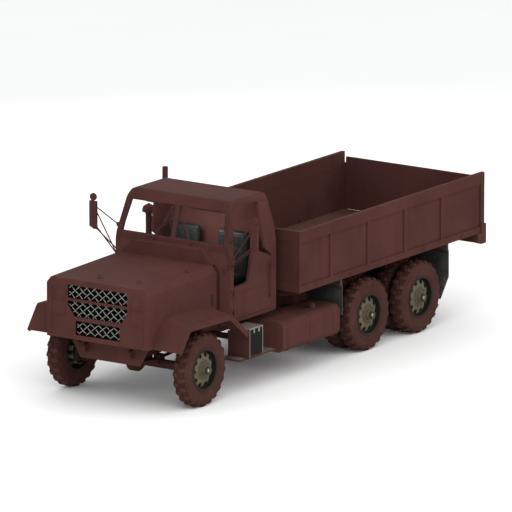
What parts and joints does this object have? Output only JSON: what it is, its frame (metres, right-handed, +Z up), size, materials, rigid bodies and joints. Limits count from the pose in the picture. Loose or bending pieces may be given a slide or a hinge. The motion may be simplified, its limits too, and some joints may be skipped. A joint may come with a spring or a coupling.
{
  "type": "six-wheel-drive military cargo truck",
  "caption": "Bonneted military cargo truck with tilting hood, half doors, flat load bed with drop tailgate, steered front wheels and twin rear wheels.",
  "frame": {"origin": "middle of the footprint on the ground", "axes": "+Z up, front towards -Y, +X to the truck's left"},
  "size_m": [2.952, 8.2973, 2.8296],
  "materials": {
    "body_paint": "matt maroon-brown paint",
    "chassis_paint": "dark matt paint",
    "rim_paint": "dirty cream paint",
    "tyre_rubber": "dusty red-brown rubber",
    "flap_rubber": "dusty black rubber",
    "black_metal": "black paint",
    "seat_cover": "worn black leather",
    "clear_glass": "clear",
    "wire": "dull wire",
    "lamp": "lamp glass",
    "bare_steel": "worn steel",
    "cast": "plain cast block"
  },
  "bodies": {
    "chassis": {"frame": "chassis_paint", "bumper": "body_paint", "front_axle": "chassis_paint", "bogie_axles": "chassis_paint", "springs": "chassis_paint", "driveline": "chassis_paint", "engine": "cast", "radiator": "black_metal", "cab": "body_paint", "windshield": "clear_glass", "dash": "black_metal", "steering_wheel": "black_metal", "seat_frames": "body_paint", "seats": "seat_cover", "mirrors": "body_paint", "wipers": "black_metal", "exhaust_stack": "chassis_paint", "air_cleaner": "body_paint", "steps": "black_metal", "fuel_tanks": "body_paint", "mudflaps": "flap_rubber", "bed_floor": "body_paint", "bed_sides": "body_paint", "headboard": "body_paint", "rear_beam": "body_paint", "pintle": "bare_steel"},
    "hood": {"hood": "body_paint", "fenders": "body_paint", "grille": "wire", "headlamps": "lamp"},
    "door_left": {"door_l": "body_paint"},
    "door_right": {"door_r": "body_paint"},
    "tailgate": {"tailgate": "body_paint"},
    "knuckle_left": {"knuckle_l": "chassis_paint"},
    "knuckle_right": {"knuckle_r": "chassis_paint"},
    "tie_rod": {"tie_rod": "chassis_paint"},
    "wheel_fl": {"rim_fl": "rim_paint", "tyre_fl": "tyre_rubber"},
    "wheel_fr": {"rim_fr": "rim_paint", "tyre_fr": "tyre_rubber"},
    "wheel_ml": {"rim_ml": "rim_paint", "tyre_ml": "tyre_rubber"},
    "wheel_mr": {"rim_mr": "rim_paint", "tyre_mr": "tyre_rubber"},
    "wheel_rl": {"rim_rl": "rim_paint", "tyre_rl": "tyre_rubber"},
    "wheel_rr": {"rim_rr": "rim_paint", "tyre_rr": "tyre_rubber"}
  },
  "joints": [
    {"name": "hood_tilt", "type": "hinge", "parent": "chassis", "child": "hood", "pos_m": [0, -4.03635, 0.985], "axis": [1, 0, 0], "range_deg": [0, 65]},
    {"name": "door_left_hinge", "type": "hinge", "parent": "chassis", "child": "door_left", "pos_m": [1.015, -2.16735, 1.15], "axis": [0, 0, -1], "range_deg": [0, 70]},
    {"name": "door_right_hinge", "type": "hinge", "parent": "chassis", "child": "door_right", "pos_m": [-1.015, -2.16735, 1.15], "axis": [0, 0, 1], "range_deg": [0, 70]},
    {"name": "tailgate_hinge", "type": "hinge", "parent": "chassis", "child": "tailgate", "pos_m": [0, 3.94865, 1.24], "axis": [-1, 0, 0], "range_deg": [0, 90]},
    {"name": "steer_left", "type": "hinge", "parent": "chassis", "child": "knuckle_left", "pos_m": [0.9, -3.18035, 0.54], "axis": [0, 0, 1], "range_deg": [-28, 28]},
    {"name": "steer_right", "type": "hinge", "parent": "chassis", "child": "knuckle_right", "pos_m": [-0.9, -3.18035, 0.54], "axis": [0, 0, 1], "range_deg": [-28, 28]},
    {"name": "tie_rod_pivot", "type": "hinge", "parent": "knuckle_left", "child": "tie_rod", "pos_m": [0.9, -3.00035, 0.43], "axis": [0, 0, 1], "range_deg": [-28, 28]},
    {"name": "roll_fl", "type": "hinge", "parent": "knuckle_left", "child": "wheel_fl", "pos_m": [1.105, -3.18035, 0.54], "axis": [1, 0, 0], "continuous": true},
    {"name": "roll_fr", "type": "hinge", "parent": "knuckle_right", "child": "wheel_fr", "pos_m": [-1.105, -3.18035, 0.54], "axis": [1, 0, 0], "continuous": true},
    {"name": "roll_ml", "type": "hinge", "parent": "chassis", "child": "wheel_ml", "pos_m": [1.105, 1.00965, 0.54], "axis": [1, 0, 0], "continuous": true},
    {"name": "roll_mr", "type": "hinge", "parent": "chassis", "child": "wheel_mr", "pos_m": [-1.105, 1.00965, 0.54], "axis": [1, 0, 0], "continuous": true},
    {"name": "roll_rl", "type": "hinge", "parent": "chassis", "child": "wheel_rl", "pos_m": [1.105, 2.35465, 0.54], "axis": [1, 0, 0], "continuous": true},
    {"name": "roll_rr", "type": "hinge", "parent": "chassis", "child": "wheel_rr", "pos_m": [-1.105, 2.35465, 0.54], "axis": [1, 0, 0], "continuous": true}
  ],
  "couplings": [
    {"joint": "steer_right", "follows": "steer_left", "ratio": 1},
    {"joint": "tie_rod_pivot", "follows": "steer_left", "ratio": -1}
  ]
}
